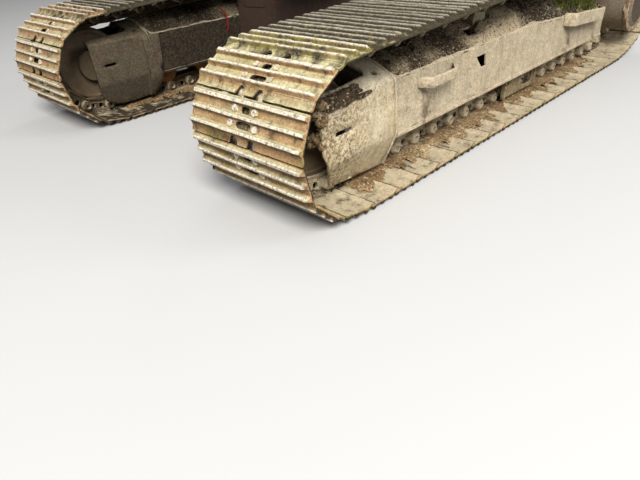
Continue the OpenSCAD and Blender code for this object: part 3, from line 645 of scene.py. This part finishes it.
# Shoes differ in colour, and those of the right track are browner
def addShoes():
    pattern = joined(shoeChunks())
    dice = random.Random(5)
    for name, side in sides.items():
        chunks = []
        for k in range(chain["shoes"]):
            points = pattern[0].copy()
            chipped(points, pattern[3][:, 0], k, side)
            p, f, m, w = joined([(points,) + pattern[1:], lipChunk(k, side)])
            place = linkFrame(k, side)
            facing, buried = place[2][2], caked["wrap"]
            if facing > 0.78:
                w[:, 0] *= growing(place[0][3], *caked["bright"])
                buried = growing(place[0][3], *caked["run"])
            w[:, 1] = dice.random() if side > 0 else 0.9 + 0.4 * dice.random()
            w[:, 2] = np.maximum(buried * dice.uniform(0.7, 1.0), w[:, 2] * 0.8)
            along, across, out = p.T
            inside, outside = out < shoe["inner"] + 3, out > shoe["inner"] + shoe["thick"] - 1
            (inMud, inTo), (endMud, endFrom), (halfMud, halfTo) = (caked[k] for k in ("inside", "barEnd", "innerHalf"))
            # Inside faces of raised shoes take the mud mark: mud, and painted shade in the hollow of the track
            if facing > -0.6:
                w[inside & (along < inTo), 2] = inMud
            else:
                w[outside & (abs(across) > endFrom), 2] = endMud
                w[inside & (across < halfTo), 2] = halfMud
            chunks.append(moved((p, f, m, w), place))
        build("shoes_" + name, chunks, ["shoe_outer", "shoe_inner"], "shoe_steel", replaces=["track_" + name])


# Links and pins
link = {"bossR": 36, "rail": -52, "shoe": 53, "railY": 68, "offset": 11, "thick": 20, "railWide": 44, "railDeep": 14,
        "railThin": 8, "heel": 40, "toe": 38, "windows": (-30, 30), "windowZ": 12, "window": (17, 21),
        # Outside of the hollow boss as distance from its radius and place across, then its bore
        "boss": ((-3, 78), (3, 84), (2, 118), (-5, 130), (-12, 134)), "bore": [(17, 134), (15, 128), (15, 96)]}
# Hollow end of the pin as radius and distance in from its tip; bushing as radius and place across
pinShape = {"reach": 112, "end": ((14, 24), (14, 1), (18, 0), (23, 4)),
            "bushing": ((26, -60), (30, -58), (30, 58), (26, 60))}
# Dried mud swells the bosses unevenly
swell = {"from": 83, "most": 0.22, "step": 0.05, "next": 5.1}


# One link plate at +y with its rail, bosses and windows; it is mirrored for the other side
def linkChunks():
    half = pitch / 2
    boss = link["bossR"]

    def rounded(middle, first):
        angles = [radians(first + 20 * i) for i in range(9)]
        return [(middle + boss * cos(a), boss * sin(a)) for a in angles]

    outline = rounded(-half, 100) + [(-half + link["heel"], link["rail"]), (half - link["heel"], link["rail"])]
    outline += rounded(half, -80) + [(half - link["toe"], link["shoe"]), (-half + link["toe"], link["shoe"])]
    windows = [ringOf(x, link["windowZ"], *link["window"], 12, 2.6) for x in link["windows"]]
    p, f, m, w = cutPlate(outline, windows, link["thick"], 1.5)
    p = p[:, [0, 2, 1]]
    p[:, 1] += link["railY"] + np.clip(p[:, 0] / (half - 50), -1, 1) * link["offset"]
    wide, low = link["railWide"] / 2, link["rail"]
    sections = []
    for x in (-half - 6, -half + 8, -half + 30, 0, half - 30, half - 8, half + 6):
        lean = max(-1, min(1, x / (half - 50))) * link["offset"] * 0.3
        deep = link["railDeep"] if abs(x) < half - 10 else link["railThin"]
        corners = ((-wide, low + 2), (-wide + 2, low), (wide - 2, low), (wide, low + 2), (wide, low + deep),
                   (-wide, low + deep))
        sections.append([(x, link["railY"] + lean + y, h) for y, h in corners])
    collar = turned([(boss + r, y) for r, y in link["boss"]] + link["bore"], 20)
    return [(p, f, m, w), loft(sections, wear=0.9), moved(collar, shift((half, 0, 0)))]


# Link pin with its hollow ends and the bushing round it, at the leading end of a link
def pinChunks():
    reach, end = pinShape["reach"], pinShape["end"]
    pin = turned([(r, back - reach) for r, back in end] + [(r, reach - back) for r, back in reversed(end)], 16)
    bushing = turned(pinShape["bushing"], 18, wear=0.7)
    return [moved(c, shift((-pitch / 2, 0, 0))) for c in [pin, bushing]]


packed = {"area": (-97, 97, -154, 154, 22), "low": 18, "rise": 14, "over": 30, "sideZ": 56, "sideFrom": 96,
          "sideOver": 50}


# Mud packed between the links behind a shoe, which darkens the holes
def packedChunk(k, side):
    def top(x, y):
        inside = packed["low"] + packed["rise"] * ease(packed["area"][1] - abs(x), packed["over"])
        inside += rough(x + pitch * k, y, side * 4.0, (40, 12), (15, 5))
        reach = ease(abs(y) - packed["sideFrom"] + rough(x, 0, k + side, (50, 16)), packed["sideOver"])
        return inside + (packed["sideZ"] - inside) * reach
    return sheetOf(*packed["area"], top)


def addLinks():
    one = linkChunks()
    other = [moved(c, Matrix.Scale(-1, 4, (0, 1, 0))) for c in one]
    pattern = joined(one + other + pinChunks())
    for name, side in sides.items():
        chunks = []
        for k in range(chain["shoes"]):
            p = pattern[0].copy()
            for i in np.nonzero(abs(p[:, 1]) > swell["from"])[0]:
                x, y, z = p[i]
                centre, step = copysign(pitch / 2, x), swell["step"]
                grown = 1 + swell["most"] * ripple(x * step + k * swell["next"], y * step, z * step + side)
                p[i] = centre + (x - centre) * grown, y * (0.97 + 0.05 * grown), z * grown
            chunks.append(moved((p,) + pattern[1:], linkFrame(k, side)))
        build("links_" + name, chunks, ["link_steel"], "shoe_steel", replaces=["track_" + name])
        mud = [moved(packedChunk(k, side), linkFrame(k, side)) for k in range(chain["shoes"])]
        build("packed_mud_" + name, mud, ["soil"], "shoe_steel", smooth=180)


addShoes()
addLinks()
print("tracks done")


# Earth on the frames' roofs; the hole is kept free of soil, as middle x, middle y and half sizes

roof = {"front": 1384, "rear": -1428, "half": 255, "ridge": 655, "flat": 31, "rise": 0.4598, "fallX": -100,
        "fall": 0.0749, "carriers": (334, -800), "pocketX": 90, "pocketY": 122, "railY": 108, "railLow": 706,
        "hole": (504, 130, 70, 30)}
soil = {"cell": 13, "seed": 2.0, "past": 2, "taper": 55, "endTaper": 60, "least": 14, "more": 30, "over": 90,
        "sunk": 8, "thinnest": 4.0, "bare": -7.5, "holeTaper": 75, "holeLip": 3, "pocketY": 200, "pocketDeep": 36,
        "underRail": 6, "edge": ((90, 9), (31, 6)), "lumps": ((260, 26), (90, 20), (33, 11), (14, 6)),
        "pocketLumps": ((60, 12), (20, 6)), "railLumps": (40, 6)}


def roofZ(x, y):
    return roof["ridge"] - max(0, abs(y) - roof["flat"]) * roof["rise"] + min(0, x - roof["fallX"]) * roof["fall"]


# Height of the soil's surface at a place on a frame, or None where the roof is bare
def soilTop(x, y, seed):
    s = soil
    for middle in roof["carriers"]:
        if abs(x - middle) < roof["pocketX"] and abs(y) < roof["pocketY"]:
            return roofZ(x, s["pocketY"]) - s["pocketDeep"] + rough(x, y, seed, *s["pocketLumps"])
    edge = roof["half"] + s["past"] + rough(x, 0, seed, *s["edge"])
    cover = ease(edge - abs(y), s["taper"]) * ease(roof["front"] - x, s["endTaper"])
    cover *= ease(x - roof["rear"], s["endTaper"])
    thick = s["least"] + s["more"] * ease(edge - abs(y), s["over"]) + rough(x, y, seed, *s["lumps"])
    thick = cover * (max(s["thinnest"], thick) + s["sunk"]) - s["sunk"]
    if thick < s["bare"]:
        return None
    middleX, middleY, halfX, halfY = roof["hole"]
    away = hypot(max(0, abs(x - middleX) - halfX), max(0, abs(y - middleY) - halfY))
    if away < 1:
        return None
    thick = min(thick, s["holeLip"] + (thick - s["holeLip"]) * ease(away, s["holeTaper"]))
    top = roofZ(x, y) + thick
    if abs(y) < roof["railY"]:
        top = min(top, roof["railLow"] - s["underRail"] + rough(x, y, seed, s["railLumps"]))
    return top


# Soil on an idler guard, beside the bare opening over the idler and its lifting hole; area is x, y and cell
guardSoil = {"back": 1404, "area": (1404, 1944, 46, 262, 9), "seed": 12.0, "hole": (1478, 178, 34), "bareTo": 175,
             "edge": (212, 24), "skirt": (252, 556), "from": 150, "over": 120, "thick": 16, "more": 8, "sunk": 6,
             "bare": -4, "bend": (235, 561.5, 0.6)}
# The opening's edge, as distance ahead of the cross plate and from the centre line
opening = ((112, 140), (140, 170), (319, 185), (560, 189))


def guardTop(x, y, seed):
    g, ahead = guardSoil, x - guardSoil["back"]
    holeX, holeY, holeR = g["hole"]
    bare = float(np.interp(ahead, [p[0] for p in opening], [p[1] for p in opening])) + 2
    if y < bare or hypot(x - holeX, y - holeY) < holeR:
        return None
    edge = g["edge"][0] - g["edge"][1] * ease(ahead - 60, 200)
    if y > edge and ahead < g["bareTo"] + rough(y, 0, seed, (30, 22)):
        return None
    skirtY, skirtZ = g["skirt"]
    if y > skirtY:
        low = 16 + 12 * ease(ahead - g["from"], 250) + rough(x, 0, seed, (70, 12), (24, 8))
        return skirtZ - (y - skirtY) * low / 10
    thick = g["thick"] + g["more"] * ease(ahead - 180, 200) + rough(x, y, seed, (80, 7), (28, 6), (13, 5))
    thick = ease(ahead - g["from"], g["over"]) * ease(y - bare + 8, 40) * thick - g["sunk"]
    if thick < g["bare"]:
        return None
    bendY, bendZ, fall = g["bend"]
    base = roof["ridge"] - (y - roof["flat"]) * roof["rise"] + 2 if y < bendY else bendZ - (y - bendY) * fall
    return base + thick


def stoneShape(kind):
    bm = bmesh.new()
    bmesh.ops.create_icosphere(bm, subdivisions=1 + kind // 3, radius=1)
    points = [v.co * (0.72 + 0.5 * noise.noise(v.co * 1.3 + Vector((kind * 9.1, 0, 0)))) for v in bm.verts]
    faces = [[v.index for v in face.verts] for face in bm.faces]
    bm.free()
    return chunkOf(points, faces)


def tumbled(dice):
    return spin(dice.uniform(0, 6), 4, (dice.random(), dice.random(), 1))


# Clods caught behind the front edge of an idler guard, smaller and further back low down
clod = {"count": 26, "x": (1925, 1958), "y": (150, 252), "z": (330, 570), "size": (16, 34), "slope": 0.1}


def clodChunks(dice, shape):
    clods = []
    low, high = clod["z"]
    for i in range(clod["count"]):
        x, y, z = dice.uniform(*clod["x"]), dice.uniform(*clod["y"]), dice.uniform(low, high)
        size = dice.uniform(*clod["size"]) * (0.7 + 0.5 * (z - low) / (high - low))
        turn = shift((x - clod["slope"] * (high - z), y, z)) @ tumbled(dice)
        clods.append(moved(shape, turn @ Matrix.Diagonal((size, size * 1.1, size * 1.3, 1))))
    return clods


# Small stones on the soil, with a big one in every so many
stone = {"count": 1250, "bigEach": 60, "least": 4, "more": 6, "big": (12, 22), "long": (0.8, 1.5), "flat": 0.75}


def stoneChunks(dice, shapes, seed):
    stones = []
    for i in range(stone["count"]):
        x, y = dice.uniform(roof["rear"], roof["front"]), dice.uniform(-roof["half"], roof["half"])
        z = soilTop(x, y, seed)
        if z is None or z < roofZ(x, y):
            continue
        small = i % stone["bigEach"]
        size = stone["least"] + stone["more"] * dice.random() ** 2 if small else dice.uniform(*stone["big"])
        turn = shift((x, y, z)) @ tumbled(dice)
        turn = turn @ Matrix.Diagonal((size * dice.uniform(*stone["long"]), size, size * stone["flat"], 1))
        stones.append(moved(shapes[i % 3 if small else 4], turn))
    return stones


# Tufts by the rear end; a blade's rows are its share of the length and half width
grass = {"tufts": 58, "blades": 17, "x": (-1400, -420, -1150), "y": (70, 236, 190), "spread": (30, 20),
         "lean": (0.2, 1.0), "long": (22, 66), "rows": ((0, 3.6), (0.5, 3.0), (1, 0.5))}


def bladeChunk(x, y, z, turn, lean, long):
    c, s = cos(turn), sin(turn)
    rows = []
    for step, wide in grass["rows"]:
        out = lean * long * step ** 2
        cx, cy, cz = x + out * c, y + out * s, z - 3 + long * step * (1 - 0.3 * lean * step)
        rows.append([(cx - wide * s, cy + wide * c, cz), (cx + wide * s, cy - wide * c, cz),
                     (cx - 0.6 * c, cy - 0.6 * s, cz - 0.5)])
    return loft(rows)


def grassChunks(dice, seed):
    blades = []
    for tuft in range(grass["tufts"]):
        x0, y0 = dice.triangular(*grass["x"]), dice.choice((-1, 1, 1)) * dice.triangular(*grass["y"])
        for blade in range(grass["blades"]):
            x, y = x0 + dice.gauss(0, grass["spread"][0]), y0 + dice.gauss(0, grass["spread"][1])
            z = soilTop(x, y, seed)
            if z is not None:
                turn, lean, long = dice.uniform(0, 6.3), dice.uniform(*grass["lean"]), dice.uniform(*grass["long"])
                blades.append(bladeChunk(x, y, z, turn, lean, long))
    return blades


def addSoil():
    dice = random.Random(11)
    shapes = [stoneShape(kind) for kind in range(5)]
    for name, side in sides.items():
        seed = soil["seed"] + side
        sheet = sheetOf(roof["rear"], roof["front"], -roof["half"], roof["half"], soil["cell"],
                        lambda x, y: soilTop(x, y, seed))
        # Paler patch in the middle of the near half
        sheet[3][:, 1] = [ease(x + 80, 260) * ease(800 - x, 260) * ease(abs(y) - 40, 90) for x, y in sheet[0][:, :2]]
        guard = sheetOf(*guardSoil["area"], lambda x, y: guardTop(x, y, guardSoil["seed"] + side))
        across = unitFrame(side, side)
        for label, chunks, key, smooth in (("soil_", [sheet, guard], "soil", 180),
                                           ("clods_", clodChunks(dice, shapes[4]), "mud", 60),
                                           ("stones_", stoneChunks(dice, shapes, seed), "stone", 30),
                                           ("grass_", grassChunks(dice, seed), "moss", 60)):
            build(label + name, [moved(c, across) for c in chunks], [key], "frame_paint", smooth=smooth)


mudRun = {"front": 1690, "rear": -1440, "base": 37, "near": 101, "far": 386, "cell": 15, "edge": 250, "scallop": 60,
          "finger": 90, "taper": 70, "endTaper": 60, "thick": 17, "least": 0.8}


# Mud pressed in beside the links on the ground run, scalloped where each shoe flexes
def mudTop(x, y, seed):
    m = mudRun
    scallop = m["scallop"] * abs(cos(pi * (x - pins[0][0]) / pitch))
    fingers = m["finger"] * ripple(x / 24, y / 150, seed)
    edge = m["edge"] + scallop + fingers + rough(x, 0, seed, (300, 40), (70, 30))
    cover = ease(edge - abs(y), m["taper"]) * ease(m["front"] - x, m["endTaper"])
    cover *= ease(x - m["rear"], m["endTaper"])
    thick = cover * (m["thick"] + rough(x, y, seed, (150, 6), (50, 5), (18, 3)))
    return None if thick < m["least"] or abs(y) < m["near"] else m["base"] + thick


def addMud():
    near, far = mudRun["near"], mudRun["far"]
    for name, side in sides.items():
        sheets = [sheetOf(mudRun["rear"], mudRun["front"], *ends, mudRun["cell"],
                          lambda x, y: mudTop(x, y, 7.0 + side + 3 * (y > 0))) for ends in ((near, far), (-far, -near))]
        build("mud_" + name, [moved(s, unitFrame(side, 1)) for s in sheets], ["mud"], "shoe_steel", smooth=180)


addSoil()
addMud()
print("earth done")


# Finishes of the CAD nodes that keep their shape

nodeFinish = {"idler": "wheel_dark", "idler_yoke": "yoke_steel", "track_rollers": "roller_steel",
              "carrier_rollers": "link_steel", "sprocket": "drive_steel", "final_drive": "drive_steel",
              "travel_motor": "drive_steel", "car_body": "body_paint", "leg_front": "body_paint",
              "leg_rear": "body_paint", "belly_cover": "body_paint", "slew_ring_inner": "ring_steel",
              "slew_ring_outer": "ring_steel", "swivel_base": "drive_steel", "swivel_rotor": "drive_steel"}


def dress():
    for name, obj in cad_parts.items():
        key = name.removesuffix("_left").removesuffix("_right")
        if key in nodeFinish:
            obj.data.materials.clear()
            obj.data.materials.append(finishes[nodeFinish[key]])


# Copies of plate work whose edges are rounded and whose faces are dented, as edge, dent and finish
softened = {"track_frame": (2.5, 1.6, "frame_dust"), "idler_guard_outer": (2.5, 2.4, "guard_dust"),
            "idler_guard_inner": (2.5, 2.4, "frame_shade"), "steps": (2.0, 1.5, "frame_dust"),
            "roller_guard": (2.0, 1.0, "guard_shade"), "motor_guard": (2.0, 1.0, "frame_shade")}
# Angles in degrees and lengths in metres by which a copy is cleaned, cut finer and shaded
plateWork = {"merge": 0.00002, "flat": 1, "sharp": 28, "longest": 0.055, "rounds": 5, "smooth": 40}
# Dark runs under the steps, as x, z and half width of each
stains = ((1120, 400, 130), (-760, 400, 120), (-1250, 380, 60), (640, 330, 80))
stainFade = {"up": 90, "deep": 0.9, "clean": -0.35}


def soften(node, width, dent, key):
    bm = bmesh.new()
    bm.from_mesh(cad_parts[node].data)
    bmesh.ops.remove_doubles(bm, verts=bm.verts, dist=plateWork["merge"])
    bmesh.ops.dissolve_limit(bm, angle_limit=radians(plateWork["flat"]), verts=bm.verts, edges=bm.edges)
    steep = radians(plateWork["sharp"])
    sharp = [e for e in bm.edges if len(e.link_faces) == 2 and e.calc_face_angle(0) > steep]
    bmesh.ops.bevel(bm, geom=sharp, offset=width * mm, segments=1, affect="EDGES", clamp_overlap=True)
    bmesh.ops.triangulate(bm, faces=bm.faces)
    for attempt in range(plateWork["rounds"]):
        long = [e for e in bm.edges if e.calc_length() > plateWork["longest"]]
        if not long:
            break
        bmesh.ops.subdivide_edges(bm, edges=long, cuts=1)
        bmesh.ops.triangulate(bm, faces=[f for f in bm.faces if len(f.verts) > 3])
    bm.normal_update()
    for v in bm.verts:
        v.co += v.normal * (dent * mm * (noise.noise(v.co * 7.0) + 0.5 * noise.noise(v.co * 19.0)))
    mesh = bpy.data.meshes.new(node + "_worn")
    bm.to_mesh(mesh)
    stained = []
    for v in bm.verts:
        x, z = v.co.x / mm, v.co.z / mm
        near = max(1 - abs(x - middle) / wide - max(0, z - top) / stainFade["up"] for middle, top, wide in stains)
        stained.append(max(stainFade["clean"], stainFade["deep"] * near + stainFade["clean"]))
    markPoints(mesh, "mud", stained)
    bm.free()
    mesh.materials.append(finishes[key])
    show(mesh, "frame_paint", replaces=[node], smooth=plateWork["smooth"])


driveZ = chain["sprocketZ"]


# Ring of bolts round a middle, with its axis tilted about x by so many degrees
def boltRing(name, slot, key, radius, high, middle, tilt, circle, count):
    heads = []
    for i in range(count):
        angle = 2 * pi * (i + 0.5) / count
        spot = shift(middle) @ spin(radians(tilt), 4, "X") @ shift((circle * cos(angle), circle * sin(angle), 0))
        heads.append(moved(hexHead(radius, high), spot @ spin(0.9 * i, 4, "Z")))
    build(name, heads, [key], slot, smooth=20)


def addBolts():
    for label, slot, key, radius, high, out, circle, count in (
            ("drive_bolts_", "drive_paint", "drive_steel", 11, 9, 384, 213, 16),
            ("sprocket_bolts_", "wheel_steel", "link_steel", 13, 10, 20, 242, 20)):
        for name, side in sides.items():
            middle = (sprocketX, side * (gauge / 2 + out), driveZ)
            boltRing(label + name, slot, key, radius, high, middle, -90 * side, circle, count)
    boltRing("belly_bolts", "body_paint", "body_paint", 12, 9, (0, 0, 460), 180, 212, 8)
    boltRing("ring_bolts", "ring_steel", "ring_steel", 10, 8, (0, 0, 1035), 0, 530, 30)


# Tube along a path, of uneven thickness
def tube(path, radius, uneven=0.0):
    sections = []
    for i, p in enumerate(path):
        ahead = (path[min(i + 1, len(path) - 1)] - path[max(i - 1, 0)]).normalized()
        level = ahead.cross(Vector((0.31, 0.2, 0.93))).normalized()
        upright = ahead.cross(level)
        r = radius * (1 + uneven * noise.noise(p * 0.09))
        sections.append([tuple(p + r * (cos(a) * level + sin(a) * upright)) for a in turns(7)])
    return loft(sections)


# Points along a line of corners, about a step apart
def spaced(corners, step):
    path = []
    for a, b in zip(corners, corners[1:]):
        a, b = Vector(a), Vector(b)
        count = max(1, round((b - a).length / step))
        path += [a + (b - a) * i / count for i in range(count)]
    return path + [Vector(corners[-1])]


# Weld bead round the front of a frame, as y and z of its corners
seam = {"x": 1402, "corners": ((36, 655), (235, 573), (258, 556), (269, 404), (271, 276), (247, 224), (214, 150)),
        "step": 11, "radius": 5, "uneven": 0.7}
# Rim and cap of a final drive, as radius and place across; the rim is chipped
drum = {"rim": ((224, 352), (234, 362), (237, 372), (236, 384), (226, 388), (204, 386), (198, 380)),
        "cap": ((158, 395), (160, 398.5), (0, 399)), "coarse": 0.05, "fine": 0.035, "bite": 30, "biteTo": 365}
legCover = {"y": (612, 872), "z": (624, 712), "corner": 40, "cut": 0.3, "above": 110, "thick": 8, "x": 432,
            "from": 520, "lean": (65, 420)}
redBar = {"corners": [(690, -938, 642), (668, -924, 618), (652, -920, 575), (645, -920, 520), (641, -922, 470),
                      (648, -938, 446)], "step": 14, "radius": 8}
ports = {"count": 10, "z": 932, "stagger": 28, "profile": ((15, 90), (15, 108), (11, 110), (11, 118), (0, 118))}


def rimChunk():
    p, f, m, w = turned(drum["rim"], 90)
    for i, (x, y, z) in enumerate(p):
        chip = 1 + drum["coarse"] * ripple(x * 0.02, y * 0.05, z * 0.02)
        chip += drum["fine"] * noise.noise(Vector((x, y, z)) * 0.07)
        bite = drum["bite"] * max(0, ripple(x * 0.015, 3, z * 0.015)) * (y < drum["biteTo"])
        p[i] = x * chip, y - bite, z * chip
    return p, f, m, w


def coverChunks():
    c = legCover
    low, high = c["z"]
    near, far = c["y"]
    corner = c["corner"]
    cut = c["cut"] * corner
    outline = [(near, high + c["above"]), (near, low + corner), (near + cut, low + cut), (near + corner, low),
               (far - corner, low), (far - cut, low + cut), (far, low + corner), (far, high)]
    rise, run = c["lean"]
    plates = []
    for sx in (-1, 1):
        for sy in (-1, 1):
            p, f, m, w = cutPlate(outline, [], c["thick"], 1.5)
            x = c["x"] + (p[:, 0] - c["from"]) * rise / run + p[:, 2]
            plates.append((np.stack([sx * x, sy * p[:, 0], p[:, 1]], 1), f, m, w))
    return plates


def addTrim():
    for name, side in sides.items():
        across = unitFrame(side, side)
        beads = [tube(spaced([(seam["x"], s * y, z) for y, z in seam["corners"]], seam["step"]), seam["radius"],
                      seam["uneven"]) for s in (-1, 1)]
        build("welds_" + name, [moved(b, across) for b in beads], ["guard_dust"], "frame_paint", smooth=60)
        place = across @ shift((sprocketX, 0, driveZ))
        build("drum_rim_" + name, [moved(rimChunk(), place)], ["rim_rust"], "drive_paint", smooth=50)
        build("drum_cap_" + name, [moved(turned(drum["cap"], 40), place)], ["frame_shade"], "drive_paint")
    build("leg_covers", coverChunks(), ["body_paint"], "body_paint")
    bar = tube(spaced(redBar["corners"], redBar["step"]), redBar["radius"])
    build("inner_bar_right", [bar], ["red_paint"], "body_paint", smooth=60)
    made = []
    for i in range(ports["count"]):
        turn = spin(2 * pi * i / ports["count"], 4, "Z")
        high = shift((0, 0, ports["z"] + ports["stagger"] * (i % 2)))
        made.append(moved(turned(ports["profile"], 6), high @ turn))
    build("swivel_ports", made, ["drive_steel"], "dark_steel", body="swivel")


addBolts()
addTrim()
dress()
for kind, values in softened.items():
    for name in sides:
        soften(kind + "_" + name, *values)
print("frame dressed")
